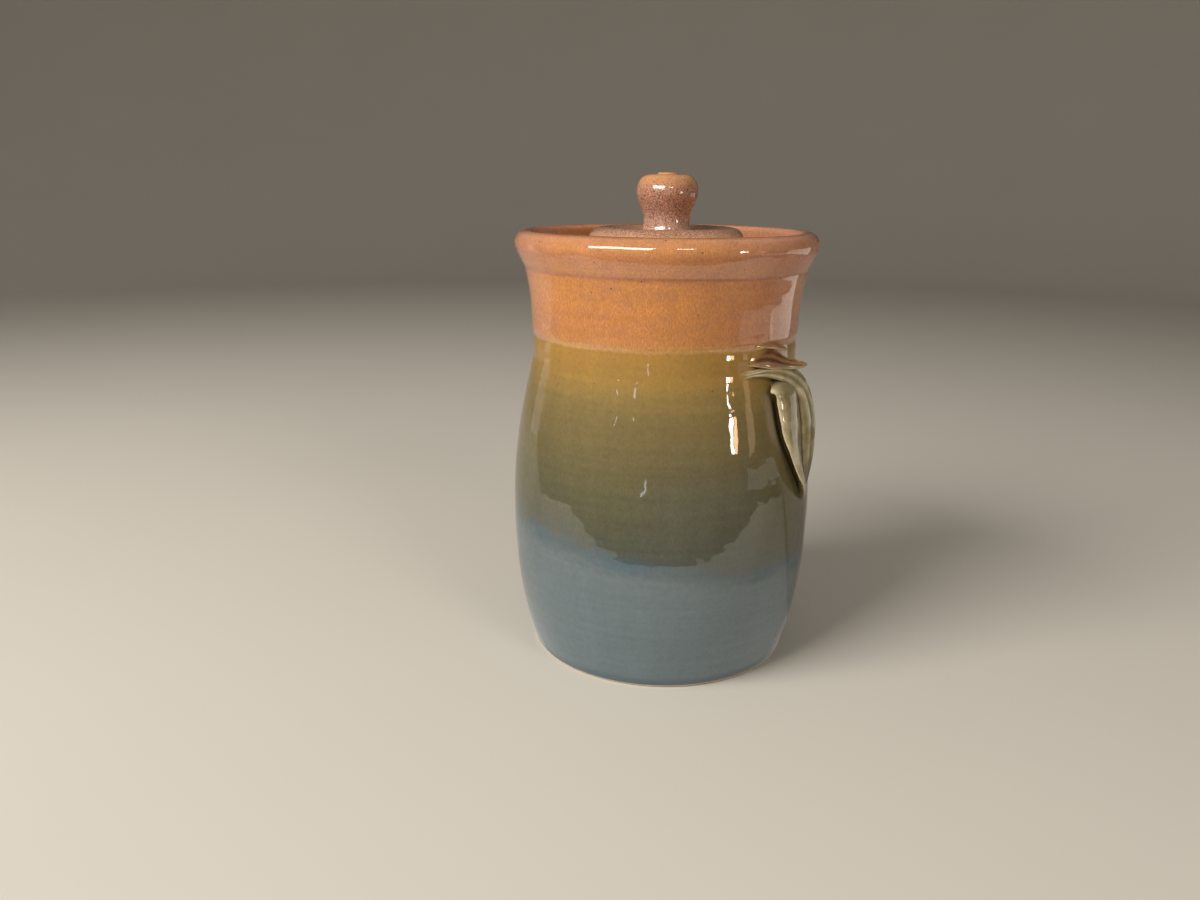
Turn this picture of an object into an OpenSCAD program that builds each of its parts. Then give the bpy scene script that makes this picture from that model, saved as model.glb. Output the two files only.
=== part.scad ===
// Lidded ceramic canister: a thrown jar with a galleried rim, an inset lid with a knob,
// and a pair of handles made of pulled strands of clay.
// Millimetres, +Z up, origin on the table at the middle of the foot, handles along X.

/* [Jar wall] */
// Diameter of the jar just above the bevel of its foot
foot_d = 123.4; // [105:0.2:140]
// Height of the bare bevel round the foot
foot_bevel = 1.4; // [0.5:0.1:3]
// Outward lean of the wall where it leaves the foot
foot_slope = 0.34; // [0.1:0.01:0.6]
// Diameter of the belly, where the wall is widest
belly_d = 142.8; // [130:0.2:165]
// Height of the belly above the table
belly_h = 73; // [55:1:95]
// Diameter of the shoulder, where the wall turns in fastest
shoulder_d = 127.6; // [122:0.2:138]
// Rise from the belly to the shoulder
shoulder_rise = 59.5; // [45:0.5:75]
// Inward lean of the wall at the shoulder
shoulder_slope = 0.24; // [0.05:0.01:0.5]
// Diameter of the neck, below the collar
neck_d = 123.2; // [115:0.2:130]
// Rise from the shoulder to the neck
neck_rise = 15; // [11:0.5:25]
// Thickness of the wall
wall_t = 6; // [4:0.25:8]
// Thickness of the floor inside the foot
floor_t = 8; // [6:0.5:12]
// Radius of the hollow corner between the floor and the wall
floor_fillet = 16; // [8:1:24]
// Width of the foot ring
foot_ring_w = 9; // [5:0.5:16]
// Depth of the hollow trimmed inside the foot ring
foot_recess = 2.5; // [1:0.25:4]

/* [Collar and rim] */
// Rise from the neck to the line under the collar
collar_line_rise = 6; // [3:0.5:12]
// Height of the collar
collar_h = 30; // [22:1:42]
// How far the lower edge of the collar stands proud
collar_step = 0.5; // [0.2:0.1:1.5]
// Outward lean of the wall at the top of the collar
collar_slope = 0.25; // [0.05:0.01:0.4]
// Diameter at the line between the collar and the flare
flare_d = 130.6; // [126:0.2:138]
// Height of the flare under the lip
flare_h = 11; // [7:0.5:16]
// Outward lean of the wall where the flare starts
flare_slope = 0.42; // [0.2:0.01:0.8]
// Depth of the line drawn between the collar and the flare
flare_line = 0.4; // [0.2:0.1:1]
// Diameter of the lip
rim_d = 139.2; // [134:0.2:146]
// Height of the lip above its widest line
lip_h = 5.5; // [3:0.25:8]
// Radius of the inner edge of the lip
lip_edge = 3; // [1.5:0.25:4]

/* [Gallery] */
// Depth of the gallery below the lip
gallery_depth = 14; // [11:0.5:18]
// Thickness of the rim outside the gallery
gallery_wall = 5; // [4:0.25:6]
// How far the rim opens out from the ledge to the lip
gallery_flare = 0.7; // [0:0.1:1.5]
// Width of the ledge that carries the lid
ledge_w = 7; // [4:0.5:10]
// Height of the straight throat under the ledge
throat_h = 9; // [5:0.5:14]
// Bevel on the inner edge of the ledge
ledge_bevel = 1; // [0.5:0.1:2]

/* [Lid] */
// Gap between the lid and the gallery, all round
lid_gap = 1; // [0.5:0.1:2.5]
// Gap under the lid where it rests on the ledge
seat_gap = 0.3; // [0.1:0.05:0.5]
// Thickness of the lid at its edge
flange_t = 4.8; // [3.5:0.1:7]
// Radius of the rounded edge of the lid
flange_edge = 2; // [0.5:0.1:3]
// Rise of the lid's top from its edge to the foot of the step
flange_rise = 1.6; // [0:0.1:4]
// Diameter of the raised middle of the lid
plateau_d = 71; // [62:0.5:84]
// Radius of the hollow at the foot of the step
step_fillet = 3; // [1.5:0.25:4]
// Height of the raised middle's edge above the lid's underside
plateau_h = 12.2; // [10:0.1:15]
// Radius of the rounded edge of the raised middle
plateau_edge = 1.2; // [0.5:0.1:2]
// Distance from the edge of the raised middle to the top of its ring
ring_inset = 7; // [4:0.25:10]
// Height of the raised ring above the edge of the raised middle
ring_rise = 2.8; // [1.5:0.1:4]
// Width of the slope from the top of the ring down to the dish
dish_slope_w = 10.5; // [6:0.25:14]
// Depth of the dish below the ring
dish_depth = 2.3; // [1:0.1:4]
// Width of the flat under the lid's edge
seat_w = 15; // [9:0.5:22]
// Depth of the hollow under the lid
lid_hollow = 5.2; // [3:0.1:6]

/* [Knob] */
// Height of the knob, without its button
knob_h = 25.4; // [20:0.2:34]
// Diameter of the knob at its widest
knob_d = 28.2; // [24:0.2:36]
// Height of the widest part above the lid
knob_wide_h = 17.8; // [14:0.2:19]
// Diameter of the knob's waist
knob_waist_d = 21.2; // [16:0.2:23]
// Height of the waist above the lid
knob_waist_h = 5.6; // [3:0.2:9]
// Diameter of the knob where it meets the lid
knob_foot_d = 23.4; // [22:0.2:29]
// Inward lean of the knob where it meets the lid
knob_foot_slope = 0.5; // [0.1:0.05:0.8]
// Diameter of the knob's flat top
knob_top_d = 17; // [14:0.2:20]
// Depth of the hollow round the button
knob_dish = 0.5; // [0.2:0.1:1]
// Diameter of the small button on top of the knob
button_d = 9.6; // [6:0.2:11]
// Height of the button above the hollow round it
button_h = 1.4; // [1:0.1:2.5]
// Radius of the button's rounded edge
button_edge = 0.8; // [0.3:0.1:0.9]

/* [Handles] */
// Height of a handle, from the collar line to the tip of its leaf strap
handle_h = 72; // [58:0.5:85]
// Thickness of the slip between a strand and the wall
slip_gap = 0.1; // [0.05:0.05:0.3]
// How far the middle of the leaf strap stands off the wall
leaf_reach = 5.1; // [3.6:0.1:7]
// Width of the leaf strap
leaf_w = 15.4; // [11:0.2:18]
// Thickness of the leaf strap
leaf_t = 4.2; // [3.2:0.1:5.5]
// How far the middle of the outer strand stands off the wall
strand_reach = 6.5; // [6:0.1:9]
// Width of the outer strand
strand_w = 9.8; // [7:0.2:12]
// Thickness of the outer strand
strand_t = 4.8; // [3.5:0.1:6]
// How far the thumb tab stands off the wall
tab_reach = 11; // [8:0.2:14]
// Width of the thumb tab
tab_w = 9.5; // [7:0.2:12]
// Thickness of the thumb tab
tab_t = 3.6; // [3:0.1:5]
// How far the curl stands off the wall
curl_reach = 3.2; // [2.6:0.1:5]
// Width of the curl
curl_w = 3.4; // [3:0.1:6]
// Thickness of the curl
curl_t = 2.4; // [1.8:0.1:4]

/* [Hidden] */
$fn = 96;

// Steps along a long curve, a short one and a small rounding
LONG = 12;
SHORT = 8;
SMALL = 5;
// Height of a drawn line's flank for each unit of its depth
FLANK = 2;
// Angles at which the rounded edge of the lid's raised middle ends and its ring begins
EDGE_TURN = 60;
RING_TURN = 10;
// Steps between two stations of a strand, sides of its section and narrowness of its crease
STRAND_STEPS = 4;
STRAND_SIDES = 16;
CREASE = 8;

// Glaze colours, from the top of the jar down
AMBER = [0.66, 0.38, 0.18];
MAUVE = [0.50, 0.33, 0.28];
OLIVE = [0.40, 0.36, 0.18];
PALE = [0.56, 0.52, 0.34];

// Heights of the jar's features, stacked up from the table
shoulder_z = belly_h + shoulder_rise;
neck_z = shoulder_z + neck_rise;
collar_z = neck_z + collar_line_rise;
flare_z = collar_z + collar_h;
rim_z = flare_z + flare_h;
body_h = rim_z + lip_h;
ledge_z = body_h - gallery_depth;

// Stations of the wall's profile: height, radius and lean
AT_FOOT = [foot_bevel, foot_d/2, foot_slope];
AT_BELLY = [belly_h, belly_d/2, 0];
AT_SHOULDER = [shoulder_z, shoulder_d/2, -shoulder_slope];
AT_NECK = [neck_z, neck_d/2, 0];
AT_COLLAR = [collar_z + FLANK*collar_step, neck_d/2 + collar_step, 0];
AT_COLLAR_TOP = [flare_z - FLANK*flare_line, flare_d/2 - FLANK*flare_line*collar_slope, collar_slope];
AT_FLARE = [flare_z + FLANK*flare_line, flare_d/2 + FLANK*flare_line*flare_slope, flare_slope];
AT_RIM = [rim_z, rim_d/2, 0];

// Radii inside the rim
gallery_r = flare_d/2 - gallery_wall;
throat_r = gallery_r - ledge_w;
lip_r = gallery_r + gallery_flare + lip_edge;
lip_roll = rim_d/2 - lip_r;
flange_r = gallery_r - lid_gap;

// Heights of the lid's features
lid_z = ledge_z + seat_gap;
plateau_z = lid_z + plateau_h;
ring_z = plateau_z + ring_rise;
dish_z = ring_z - dish_depth;

// Radius at height z on the smooth curve between two stations
function curve_r(a, b, z) =
    let (h = b[0] - a[0], t = (z - a[0])/h)
    (2*t^3 - 3*t^2 + 1)*a[1] + (t^3 - 2*t^2 + t)*h*a[2] + (3*t^2 - 2*t^3)*b[1] + (t^3 - t^2)*h*b[2];

// Points of that curve as [radius, height], from station a to station b
function curve(a, b, steps) =
    [for (i = [0:steps]) let (z = a[0] + (b[0] - a[0])*i/steps) [curve_r(a, b, z), z]];

// Points of an elliptic arc round c, with half-axes s, from angle a0 to angle a1
function arc(c, s, a0, a1, steps) =
    [for (i = [0:steps]) let (a = a0 + (a1 - a0)*i/steps) [c[0] + s[0]*cos(a), c[1] + s[1]*sin(a)]];

// A run of points without its first, which the run before it ends with
function tail(points) = [for (i = [1:len(points) - 1]) points[i]];

// Radius of the outside of the jar at height z, from the foot to the collar
function wall_r(z) =
    z >= neck_z ? neck_d/2 :
    z >= shoulder_z ? curve_r(AT_SHOULDER, AT_NECK, z) :
    z >= belly_h ? curve_r(AT_BELLY, AT_SHOULDER, z) :
    curve_r(AT_FOOT, AT_BELLY, z);

// Outside of the jar from the foot to the widest line of the lip, moved out by grow
function outside(grow = 0) =
    let (points = concat(
        curve(AT_FOOT, AT_BELLY, LONG),
        tail(curve(AT_BELLY, AT_SHOULDER, LONG)),
        tail(curve(AT_SHOULDER, AT_NECK, SHORT)),
        [[neck_d/2, collar_z]],
        curve(AT_COLLAR, AT_COLLAR_TOP, SHORT),
        [[flare_d/2 - flare_line, flare_z]],
        curve(AT_FLARE, AT_RIM, SHORT)))
    [for (p = points) [p[0] + grow, p[1]]];

// Inside of the jar from the gallery down to the middle of the floor
function inside() =
    let (corner_z = floor_t + floor_fillet,
         corner_r = wall_r(corner_z) - wall_t,
         throat_foot = [ledge_z - throat_h, throat_r, 0],
         wall_top = [neck_z, neck_d/2 - wall_t, 0],
         steps = 2*LONG)
    concat(
        [[gallery_r, ledge_z], [throat_r + ledge_bevel, ledge_z], [throat_r, ledge_z - ledge_bevel]],
        [for (i = [0:SHORT]) let (z = throat_foot[0] + (neck_z - throat_foot[0])*i/SHORT)
            [curve_r(wall_top, throat_foot, z), z]],
        [for (i = [1:steps]) let (z = neck_z + (corner_z - neck_z)*i/steps) [wall_r(z) - wall_t, z]],
        tail(arc([corner_r - floor_fillet, corner_z], [floor_fillet, floor_fillet], 0, -90, SHORT)),
        [[0, floor_t]]);

// Thrown jar with its foot ring, gallery and rolled lip
module jar_body() {
    ring_in = foot_d/2 - foot_ring_w;
    lip = concat(
        tail(arc([lip_r, rim_z], [lip_roll, lip_h], 0, 90, SHORT)),
        tail(arc([lip_r, body_h - lip_edge], [lip_edge, lip_edge], 90, 180, SMALL)));
    foot = [[0, foot_recess], [ring_in - foot_recess, foot_recess], [ring_in, 0],
            [foot_d/2 - foot_bevel, 0]];
    color(AMBER)
        rotate_extrude()
            polygon(concat(foot, outside(), lip, inside()));
}

// Lid that sits in the gallery, with a raised ring round the dish that holds the knob
module lid_plate() {
    step_z = lid_z + flange_t + flange_rise;
    step_r = plateau_d/2;
    ring_r = step_r - ring_inset;
    edge_r = step_r - plateau_edge;
    flange = concat(
        arc([flange_r - flange_edge, lid_z + flange_t - flange_edge],
            [flange_edge, flange_edge], 0, 90, SMALL),
        arc([step_r + step_fillet, step_z + step_fillet], [step_fillet, step_fillet], 270, 180, SMALL));
    plateau = concat(
        arc([edge_r, plateau_z - plateau_edge], [plateau_edge, plateau_edge], 0, EDGE_TURN, SMALL),
        arc([ring_r, plateau_z], [edge_r - ring_r, ring_rise], RING_TURN, 90, SHORT));
    dish = [for (i = [1:SHORT]) let (t = i/SHORT)
        [ring_r - t*dish_slope_w, dish_z + dish_depth*(1 + cos(180*t))/2]];
    under = arc([0, lid_z], [flange_r - seat_w, lid_hollow], 90, 0, LONG);
    color(MAUVE)
        rotate_extrude()
            polygon(concat(under, [[flange_r, lid_z]], flange, plateau, dish, [[0, dish_z]]));
}

// Thrown knob with a waist and a small button on its flat top
module lid_knob() {
    foot = [dish_z, knob_foot_d/2, -knob_foot_slope];
    waist = [dish_z + knob_waist_h, knob_waist_d/2, 0];
    wide = [dish_z + knob_wide_h, knob_d/2, 0];
    top_r = knob_top_d/2;
    top_z = dish_z + knob_h;
    hollow_z = top_z - knob_dish;
    sides = concat(curve(foot, waist, SHORT), tail(curve(waist, wide, SHORT)));
    head = tail(arc([top_r, wide[0]], [wide[1] - top_r, top_z - wide[0]], 0, 90, SHORT));
    button_z = hollow_z + button_h;
    button = concat([[button_d/2, hollow_z]],
        arc([button_d/2 - button_edge, button_z - button_edge], [button_edge, button_edge], 0, 90, SMALL),
        [[0, button_z]]);
    color(MAUVE)
        rotate_extrude()
            polygon(concat([[0, dish_z]], sides, head, button));
}

// Routes of the strands. Each row is one hand-placed station:
// angle round the jar from the handle's middle, then shares of the handle's height below the collar
// line, of the strand's reach, of its half width and of its half thickness
LEAF_ROUTE = [
    [-4.9, 0.275, -0.3, 0.98, 0.7],
    [-4.7, 0.228, 0.03, 0.97, 0.7],
    [-4, 0.226, 0.68, 0.92, 0.72],
    [-3.2, 0.268, 1, 0.88, 0.78],
    [-2.5, 0.34, 0.98, 0.92, 0.88],
    [-1.5, 0.437, 0.84, 0.97, 0.9],
    [0.3, 0.576, 0.67, 1, 0.85],
    [3.9, 0.757, 0.47, 0.95, 0.74],
    [7.3, 0.882, 0.25, 0.6, 0.55],
    [11.2, 1, 0.02, 0.08, 0.25]];
STRAND_ROUTE = [
    [-25, 0.166, -0.25, 0.04, 0.25],
    [-18, 0.148, 0.08, 0.24, 0.45],
    [-11, 0.14, 0.3, 0.5, 0.75],
    [-4, 0.154, 0.6, 0.75, 0.92],
    [2, 0.194, 0.8, 0.84, 1],
    [6, 0.257, 0.96, 0.86, 1],
    [7.7, 0.354, 1, 0.92, 1],
    [8.2, 0.479, 0.94, 1, 0.95],
    [8.6, 0.618, 0.75, 0.92, 0.85],
    [9.7, 0.771, 0.48, 0.67, 0.65],
    [12.5, 0.924, 0.1, 0.13, 0.3]];
TAB_ROUTE = [
    [-20, 0.068, -0.13, 0.4, 0.4],
    [-15, 0.062, 0.02, 0.8, 0.8],
    [-9, 0.065, 0.2, 1, 1],
    [-3, 0.096, 0.44, 0.6, 0.95],
    [1, 0.108, 0.73, 0.45, 0.8],
    [4.2, 0.113, 1, 0.18, 0.45]];
CURL_ROUTE = [
    [-15, -0.01, -0.22, 0.4, 0.6],
    [-9, -0.013, 0.22, 1, 1],
    [-4, 0.001, 0.66, 0.95, 0.95],
    [0.5, 0.028, 1, 0.3, 0.5]];

// Point between two stations of a route, on a smooth curve through its neighbours
function between(p0, p1, p2, p3, t) =
    0.5*(2*p1 + (p2 - p0)*t + (2*p0 - 5*p1 + 4*p2 - p3)*t^2 + (3*p1 - p0 - 3*p2 + p3)*t^3);

// All stations of a route, hand-placed and between
function smooth_route(rows) =
    let (last = len(rows) - 1)
    concat(
        [for (i = [0:last - 1], k = [0:STRAND_STEPS - 1])
            between(rows[max(i - 1, 0)], rows[i], rows[i + 1], rows[min(i + 2, last)], k/STRAND_STEPS)],
        [rows[last]]);

// Direction of a vector, as a vector of length 1
function unit(v) = v/norm(v);

// Solid swept along a route with an oval section. up says how far the flat of the section
// looks up instead of out from the wall, turn how far it is turned round the jar in degrees,
// and groove how deep the crease along that flat is, as a share of half the thickness
module strand(rows, reach, width, thick, up, turn, groove) {
    route = smooth_route(rows);
    last = len(route) - 1;
    sides = STRAND_SIDES;
    middle = [for (s = route) let (z = collar_z - s[1]*handle_h, r = wall_r(z) + s[2]*reach)
        [r*cos(s[0]), r*sin(s[0]), z]];
    rings = [for (i = [0:last])
        let (s = route[i],
             along = unit(middle[min(i + 1, last)] - middle[max(i - 1, 0)]),
             facing = [(1 - up)*cos(s[0] + turn), (1 - up)*sin(s[0] + turn), up],
             across = unit(cross(along, facing)),
             out = cross(across, along))
        [for (k = [0:sides - 1])
            let (a = 360*k/sides, crease = groove*max(sin(a), 0)^CREASE)
            middle[i] + across*(s[3]*width/2*cos(a)) + out*(s[4]*thick/2*(sin(a) - crease))]];
    points = [for (ring = rings, p = ring) p];
    skin = [for (i = [0:last - 1], k = [0:sides - 1])
        let (a = i*sides + k, b = i*sides + (k + 1) % sides)
        each [[a, b, a + sides], [b, b + sides, a + sides]]];
    start_cap = [for (k = [1:sides - 2]) [0, k + 1, k]];
    end_cap = [for (k = [1:sides - 2]) last*sides*[1, 1, 1] + [0, k, k + 1]];
    polyhedron(points, concat(skin, start_cap, end_cap));
}

// The jar's outline with the slip on it, which shapes the seat of every strand
module wall_with_slip() {
    rotate_extrude()
        polygon(concat([[0, foot_bevel]], outside(slip_gap), [[0, rim_z]]));
}

// Forms of the four strands, before they are pressed on to the wall and each other
module leaf_form() {
    strand(LEAF_ROUTE, leaf_reach, leaf_w, leaf_t, up = 0.7, turn = -14, groove = 0.05);
}
module outer_form() {
    strand(STRAND_ROUTE, strand_reach, strand_w, strand_t, up = 0.2, turn = -15, groove = 0.2);
}
module tab_form() {
    strand(TAB_ROUTE, tab_reach, tab_w, tab_t, up = 0.4, turn = -35, groove = 0.6);
}
module curl_form() {
    strand(CURL_ROUTE, curl_reach, curl_w, curl_t, up = 0.55, turn = -35, groove = 0.5);
}

// Broad strap that arches out of the wall and runs down to a pointed tip
module leaf_strap() {
    color(PALE)
        difference() {
            leaf_form();
            wall_with_slip();
        }
}

// Thin strand that sweeps over the root of the leaf strap and down beside it
module outer_strand() {
    color(OLIVE)
        difference() {
            outer_form();
            wall_with_slip();
            leaf_form();
        }
}

// Pinched tab for the thumb, pressed on to the outer strand
module thumb_tab() {
    color(MAUVE)
        difference() {
            tab_form();
            wall_with_slip();
            outer_form();
        }
}

// Small curl of clay on top of the thumb tab
module curl() {
    color(MAUVE)
        difference() {
            curl_form();
            wall_with_slip();
            tab_form();
        }
}

// Places a strand of the right-hand handle, or the same strand on the opposite side
module on_side(side) {
    rotate([0, 0, side == "left" ? 180 : 0])
        children();
}

jar_body();
lid_plate();
lid_knob();
on_side("right") leaf_strap();  // right_leaf_strap
on_side("right") outer_strand();  // right_outer_strand
on_side("right") thumb_tab();  // right_thumb_tab
on_side("right") curl();  // right_curl
on_side("left") leaf_strap();  // left_leaf_strap
on_side("left") outer_strand();  // left_outer_strand
on_side("left") thumb_tab();  // left_thumb_tab
on_side("left") curl();  // left_curl
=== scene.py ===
import math

import bpy
from mathutils import Matrix, Vector


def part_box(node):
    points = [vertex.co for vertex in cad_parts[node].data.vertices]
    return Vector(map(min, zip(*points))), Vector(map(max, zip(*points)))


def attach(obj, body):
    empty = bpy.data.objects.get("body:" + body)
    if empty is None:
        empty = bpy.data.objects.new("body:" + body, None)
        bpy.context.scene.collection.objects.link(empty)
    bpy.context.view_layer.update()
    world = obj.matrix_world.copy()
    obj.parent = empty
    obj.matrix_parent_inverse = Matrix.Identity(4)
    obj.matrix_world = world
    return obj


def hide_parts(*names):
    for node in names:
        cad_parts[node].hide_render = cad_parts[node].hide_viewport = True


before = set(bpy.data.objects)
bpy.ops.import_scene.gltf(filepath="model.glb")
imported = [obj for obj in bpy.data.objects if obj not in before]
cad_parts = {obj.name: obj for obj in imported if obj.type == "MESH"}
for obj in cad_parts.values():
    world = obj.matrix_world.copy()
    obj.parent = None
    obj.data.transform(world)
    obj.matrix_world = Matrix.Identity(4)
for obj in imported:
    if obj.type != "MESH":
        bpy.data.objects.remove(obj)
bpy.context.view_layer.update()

MM = 0.001
TURN = 2*math.pi
TINY = 1e-6

# Sizes that the frame gives
_, jar_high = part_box("jar_body")
lid_low, lid_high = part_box("lid_plate")
knob_low, knob_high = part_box("lid_knob")
BODY_H = jar_high.z
BELLY_R = jar_high.y
LID_Z = lid_low.z
RING_Z = lid_high.z
FLANGE_R = lid_high.y
DISH_Z = knob_low.z
KNOB_R = knob_high.y

# Sizes of the jar's wall
FOOT_R = 61.7*MM
FOOT_BEVEL = 1.4*MM
FOOT_RING_W = 9*MM
FOOT_RECESS = 2.5*MM
BELLY_Z = 73*MM
SHOULDER_R, SHOULDER_Z = 63.8*MM, 132.5*MM
NECK_R, NECK_Z = 61.6*MM, 147.5*MM
COLLAR_Z = 153.5*MM
COLLAR_STEP = 0.5*MM
FLARE_R, FLARE_Z = 65.3*MM, 183.5*MM
FLARE_LINE = 0.4*MM
RIM_R, RIM_Z = 69.6*MM, 194.5*MM
WALL_T = 6*MM
FLOOR_T = 8*MM
FLOOR_FILLET = 16*MM

# Sizes of the gallery inside the rim
LEDGE_Z = 186*MM
GALLERY_R = 60.3*MM
GALLERY_FLARE = 0.7*MM
THROAT_R = 53.3*MM
THROAT_H = 9*MM
LEDGE_BEVEL = 1*MM
LIP_EDGE = 3*MM
LIP_R = GALLERY_R + GALLERY_FLARE + LIP_EDGE

# Sizes of the lid and its knob
FLANGE_T, FLANGE_EDGE, FLANGE_RISE = 4.8*MM, 2*MM, 1.6*MM
PLATEAU_R, PLATEAU_H, PLATEAU_EDGE = 35.5*MM, 12.2*MM, 1.2*MM
STEP_FILLET = 3*MM
RING_INSET = 7*MM
DISH_SLOPE_W = 10.5*MM
SEAT_W, LID_HOLLOW = 15*MM, 5.2*MM
KNOB_H, KNOB_WIDE_H = 25.4*MM, 17.8*MM
KNOB_WAIST_R, KNOB_WAIST_H = 10.6*MM, 5.6*MM
KNOB_FOOT_R, KNOB_FOOT_LEAN = 11.7*MM, -0.5
KNOB_TOP_R = 8.5*MM
KNOB_DISH = 0.5*MM
BUTTON_R, BUTTON_H, BUTTON_EDGE = 4.8*MM, 1.4*MM, 0.8*MM

# Stations of the wall: height, radius and lean
AT_FOOT = (FOOT_BEVEL, FOOT_R, 0.34)
AT_BELLY = (BELLY_Z, BELLY_R, 0)
AT_SHOULDER = (SHOULDER_Z, SHOULDER_R, -0.24)
AT_NECK = (NECK_Z, NECK_R, 0)
AT_COLLAR = (COLLAR_Z + 2*COLLAR_STEP, NECK_R + COLLAR_STEP, 0)
AT_COLLAR_TOP = (FLARE_Z - 2*FLARE_LINE, FLARE_R - 0.5*FLARE_LINE, 0.25)
AT_FLARE = (FLARE_Z + 2*FLARE_LINE, FLARE_R + 0.84*FLARE_LINE, 0.42)
AT_RIM = (RIM_Z, RIM_R, 0)

# Fineness of the turned meshes: segments round the axis, steps along the profiles, and points on the
# jar's inner wall and on the slope of the lid's dish
SEGMENTS = 128
JAR_STEP, LID_STEP, KNOB_STEP = 0.7*MM, 0.5*MM, 0.4*MM
INSIDE_STEPS, DISH_STEPS = 60, 30


# Profiles

def clamped(value):
    """The value kept between 0 and 1."""
    return min(max(value, 0), 1)


def curve_radius(a, b, z):
    """Radius at height z on the smooth curve between two stations."""
    h = b[0] - a[0]
    t = (z - a[0])/h
    return ((2*t**3 - 3*t**2 + 1)*a[1] + (t**3 - 2*t**2 + t)*h*a[2]
            + (3*t**2 - 2*t**3)*b[1] + (t**3 - t**2)*h*b[2])


def curve(a, b, steps=40):
    """Points (radius, height) of that curve."""
    heights = [a[0] + (b[0] - a[0])*i/steps for i in range(steps + 1)]
    return [(curve_radius(a, b, z), z) for z in heights]


def arc(middle, half, start, end, steps=16):
    """Points of an elliptic arc, its angles in degrees."""
    angles = [math.radians(start + (end - start)*i/steps) for i in range(steps + 1)]
    return [(middle[0] + half[0]*math.cos(a), middle[1] + half[1]*math.sin(a)) for a in angles]


def wall_radius(z):
    """Radius of the outside of the jar at height z, from the foot to the collar."""
    if z >= NECK_Z:
        return NECK_R
    if z >= SHOULDER_Z:
        return curve_radius(AT_SHOULDER, AT_NECK, z)
    if z >= BELLY_Z:
        return curve_radius(AT_BELLY, AT_SHOULDER, z)
    return curve_radius(AT_FOOT, AT_BELLY, z)


def respaced(points, step):
    """The same line with points a step apart, and its first and last kept."""
    lengths = [0.0]
    for p, q in zip(points, points[1:]):
        lengths.append(lengths[-1] + math.dist(p, q))
    count = max(2, round(lengths[-1]/step))
    spaced, k = [], 0
    for i in range(count + 1):
        at = lengths[-1]*i/count
        while k < len(points) - 2 and lengths[k + 1] < at:
            k += 1
        span = lengths[k + 1] - lengths[k]
        t = (at - lengths[k])/span if span else 0
        p, q = points[k], points[k + 1]
        spaced.append((p[0] + (q[0] - p[0])*t, p[1] + (q[1] - p[1])*t))
    return spaced


def softened(points, passes=2):
    """The same line with its corners rounded, as glaze rounds an edge."""
    for _ in range(passes):
        inner = [tuple((a + 2*b + c)/4 for a, b, c in zip(*three))
                 for three in zip(points, points[1:], points[2:])]
        points = [points[0], *inner, points[-1]]
    return points


# Meshes

def new_piece(name, verts, faces, materials, zones=None):
    """Smooth mesh object with its materials; zones gives each face's material."""
    mesh = bpy.data.meshes.new(name)
    mesh.from_pydata(verts, [], faces)
    for material in materials:
        mesh.materials.append(material)
    if zones:
        mesh.polygons.foreach_set("material_index", zones)
    mesh.polygons.foreach_set("use_smooth", [True]*len(faces))
    mesh.validate()
    piece = bpy.data.objects.new(name, mesh)
    bpy.context.scene.collection.objects.link(piece)
    return piece


def turned(name, profile, materials, zone_at, marks=None):
    """Mesh turned round the jar's axis from a profile that starts and ends on it.
    zone_at(r, z, share) gives the material of a band, and marks(r, z, angle) moves the radius."""
    inner = profile[1:-1]
    verts = [(0, 0, profile[0][1])]
    for r, z in inner:
        for k in range(SEGMENTS):
            a = TURN*k/SEGMENTS
            radius = r + (marks(r, z, a) if marks else 0)
            verts.append((radius*math.cos(a), radius*math.sin(a), z))
    verts.append((0, 0, profile[-1][1]))
    last = len(verts) - 1
    faces, zones = [], []
    for i in range(len(profile) - 1):
        (r0, z0), (r1, z1) = profile[i], profile[i + 1]
        zone = zone_at((r0 + r1)/2, (z0 + z1)/2, i/len(profile))
        low, high = 1 + (i - 1)*SEGMENTS, 1 + i*SEGMENTS
        for k in range(SEGMENTS):
            n = (k + 1) % SEGMENTS
            if i == 0:
                faces.append((0, high + n, high + k))
            elif i == len(profile) - 2:
                faces.append((low + k, low + n, last))
            else:
                faces.append((low + k, low + n, high + n, high + k))
            zones.append(zone)
    return new_piece(name, verts, faces, materials, zones)


def ring_faces(rings, sides):
    """Faces between rings of points, each ring with as many sides."""
    faces = []
    for i in range(rings - 1):
        here, ahead = i*sides, (i + 1)*sides
        for k in range(sides):
            n = (k + 1) % sides
            faces.append((here + k, ahead + k, ahead + n, here + n))
    return faces


# Node helper

SURFACE_IOR = 1.5
# Places of the colour sockets on a Mix node: factor, the two colours, and the result
MIX_FACTOR, MIX_FIRST, MIX_SECOND, MIX_RESULT = 0, 6, 7, 2


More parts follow.
